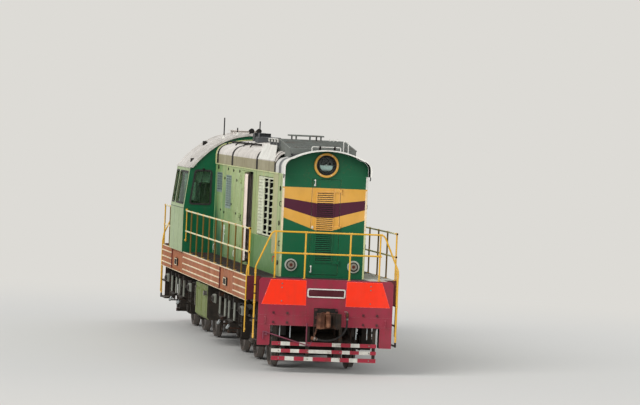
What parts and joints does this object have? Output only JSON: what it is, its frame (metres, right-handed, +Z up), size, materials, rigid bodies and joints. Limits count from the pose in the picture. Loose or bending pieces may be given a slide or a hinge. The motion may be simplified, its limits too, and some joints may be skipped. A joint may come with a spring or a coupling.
{
  "type": "diesel shunting locomotive",
  "caption": "Diesel shunting locomotive with long engine hood, offset full-width cab, walkways with handrails, turning bogies, opening doors and automatic couplers.",
  "frame": {"origin": "on the middle line, midway between the two coupler faces, at the level of the lowest points of the wheel flanges; the rail top is 28 mm above it", "axes": "+X forward, towards the radiator end of the long hood; +Y left; +Z up"},
  "size_m": [17.2176, 3.15, 4.9978],
  "materials": {
    "deck_paint": "worn dark deck paint",
    "sill_paint": "faded orange brown paint with cream ribs",
    "beam_paint": "weathered crimson paint",
    "black_paint": "black running gear paint",
    "step_paint": "dark red paint, worn on the treads",
    "cast_steel": "rusty cast steel",
    "rail_yellow": "yellow handrail paint",
    "hood_green": "faded light green paint",
    "deep_green": "deep green paint",
    "roof_grey": "chalky pale grey roof paint",
    "dark_grey": "dark grey roof paint",
    "shutter_paint": "pale dusty shutter paint",
    "tank_green": "olive green paint",
    "lamp_ochre": "ochre lamp ring",
    "lamp_glass": "brown red lens",
    "window_glass": "greenish cab glass",
    "wheel_steel": "rolled steel, bright on the tread",
    "engine_paint": "grey engine paint",
    "hose_rubber": "black brake hose",
    "seat_fabric": "dark seat covers",
    "fan_metal": "dusty cast fan"
  },
  "bodies": {
    "locomotive": {"main_frame": "deck_paint", "side_sills": "sill_paint", "buffer_beams": "beam_paint", "corner_steps": "step_paint", "couplers": "cast_steel", "brake_hoses": "hose_rubber", "obstacle_guards": "beam_paint", "side_railings": "rail_yellow", "end_railings": "rail_yellow", "engine_hood": "hood_green", "radiator_hood": "deep_green", "radiator_shutters": "shutter_paint", "hood_roof_covers": "roof_grey", "fan_housing": "dark_grey", "roof_vents": "dark_grey", "cab_shell": "deep_green", "cab_roof": "roof_grey", "cab_glass": "window_glass", "control_desk": "dark_grey", "driver_seats": "seat_fabric", "rear_hood": "deep_green", "engine_block": "engine_paint", "headlights": "lamp_ochre", "marker_lamps": "lamp_glass", "roof_fittings": "black_paint", "fuel_tank": "tank_green", "air_reservoirs": "black_paint"},
    "front_bogie": {"front_bogie_frame": "black_paint", "front_axle_boxes": "black_paint", "front_traction_motors": "black_paint", "front_brake_gear": "black_paint"},
    "rear_bogie": {"rear_bogie_frame": "black_paint", "rear_axle_boxes": "black_paint", "rear_traction_motors": "black_paint", "rear_brake_gear": "black_paint"},
    "cooling_fan": {"cooling_fan": "fan_metal"},
    "nose_door": {"nose_door": "deep_green"},
    "front_cab_door": {"front_cab_door": "deep_green"},
    "rear_cab_door": {"rear_cab_door": "deep_green"},
    "right_rear_engine_door": {"right_rear_engine_door": "hood_green"},
    "right_middle_engine_door": {"right_middle_engine_door": "hood_green"},
    "right_front_engine_door": {"right_front_engine_door": "hood_green"},
    "left_rear_engine_door": {"left_rear_engine_door": "hood_green"},
    "left_middle_engine_door": {"left_middle_engine_door": "hood_green"},
    "left_front_engine_door": {"left_front_engine_door": "hood_green"},
    "wheelset_1": {"wheelset_1": "wheel_steel"},
    "wheelset_2": {"wheelset_2": "wheel_steel"},
    "wheelset_3": {"wheelset_3": "wheel_steel"},
    "wheelset_4": {"wheelset_4": "wheel_steel"},
    "wheelset_5": {"wheelset_5": "wheel_steel"},
    "wheelset_6": {"wheelset_6": "wheel_steel"}
  },
  "joints": [
    {"name": "front_bogie_pivot", "type": "hinge", "parent": "locomotive", "child": "front_bogie", "pos_m": [4.33, 0, 1.2], "axis": [0, 0, 1], "range_deg": [-4, 4]},
    {"name": "rear_bogie_pivot", "type": "hinge", "parent": "locomotive", "child": "rear_bogie", "pos_m": [-4.33, 0, 1.2], "axis": [0, 0, 1], "range_deg": [-4, 4]},
    {"name": "wheelset_1_roll", "type": "hinge", "parent": "front_bogie", "child": "wheelset_1", "pos_m": [6.33, 0, 0.553], "axis": [0, 1, 0], "continuous": true},
    {"name": "wheelset_2_roll", "type": "hinge", "parent": "front_bogie", "child": "wheelset_2", "pos_m": [4.33, 0, 0.553], "axis": [0, 1, 0], "continuous": true},
    {"name": "wheelset_3_roll", "type": "hinge", "parent": "front_bogie", "child": "wheelset_3", "pos_m": [2.33, 0, 0.553], "axis": [0, 1, 0], "continuous": true},
    {"name": "wheelset_4_roll", "type": "hinge", "parent": "rear_bogie", "child": "wheelset_4", "pos_m": [-2.33, 0, 0.553], "axis": [0, 1, 0], "continuous": true},
    {"name": "wheelset_5_roll", "type": "hinge", "parent": "rear_bogie", "child": "wheelset_5", "pos_m": [-4.33, 0, 0.553], "axis": [0, 1, 0], "continuous": true},
    {"name": "wheelset_6_roll", "type": "hinge", "parent": "rear_bogie", "child": "wheelset_6", "pos_m": [-6.33, 0, 0.553], "axis": [0, 1, 0], "continuous": true},
    {"name": "cooling_fan_spin", "type": "hinge", "parent": "locomotive", "child": "cooling_fan", "pos_m": [5.45, 0, 4.34], "axis": [0, 0, 1], "continuous": true},
    {"name": "nose_door_hinge", "type": "hinge", "parent": "locomotive", "child": "nose_door", "pos_m": [7.323, 0.324, 2.9], "axis": [0, 0, 1], "range_deg": [0, 90]},
    {"name": "front_cab_door_hinge", "type": "hinge", "parent": "locomotive", "child": "front_cab_door", "pos_m": [-3.147, 0.9, 2.9], "axis": [0, 0, 1], "range_deg": [-90, 0]},
    {"name": "rear_cab_door_hinge", "type": "hinge", "parent": "locomotive", "child": "rear_cab_door", "pos_m": [-5.653, -0.9, 2.9], "axis": [0, 0, 1], "range_deg": [-90, 0]},
    {"name": "right_rear_engine_door_hinge", "type": "hinge", "parent": "locomotive", "child": "right_rear_engine_door", "pos_m": [1.156, -0.888, 2.9], "axis": [0, 0, 1], "range_deg": [-90, 0]},
    {"name": "right_middle_engine_door_hinge", "type": "hinge", "parent": "locomotive", "child": "right_middle_engine_door", "pos_m": [1.776, -0.888, 2.9], "axis": [0, 0, 1], "range_deg": [-90, 0]},
    {"name": "right_front_engine_door_hinge", "type": "hinge", "parent": "locomotive", "child": "right_front_engine_door", "pos_m": [2.396, -0.888, 2.9], "axis": [0, 0, 1], "range_deg": [-68, 22]},
    {"name": "left_rear_engine_door_hinge", "type": "hinge", "parent": "locomotive", "child": "left_rear_engine_door", "pos_m": [1.156, 0.888, 2.9], "axis": [0, 0, 1], "range_deg": [0, 90]},
    {"name": "left_middle_engine_door_hinge", "type": "hinge", "parent": "locomotive", "child": "left_middle_engine_door", "pos_m": [1.776, 0.888, 2.9], "axis": [0, 0, 1], "range_deg": [0, 90]},
    {"name": "left_front_engine_door_hinge", "type": "hinge", "parent": "locomotive", "child": "left_front_engine_door", "pos_m": [2.396, 0.888, 2.9], "axis": [0, 0, 1], "range_deg": [0, 90]}
  ]
}
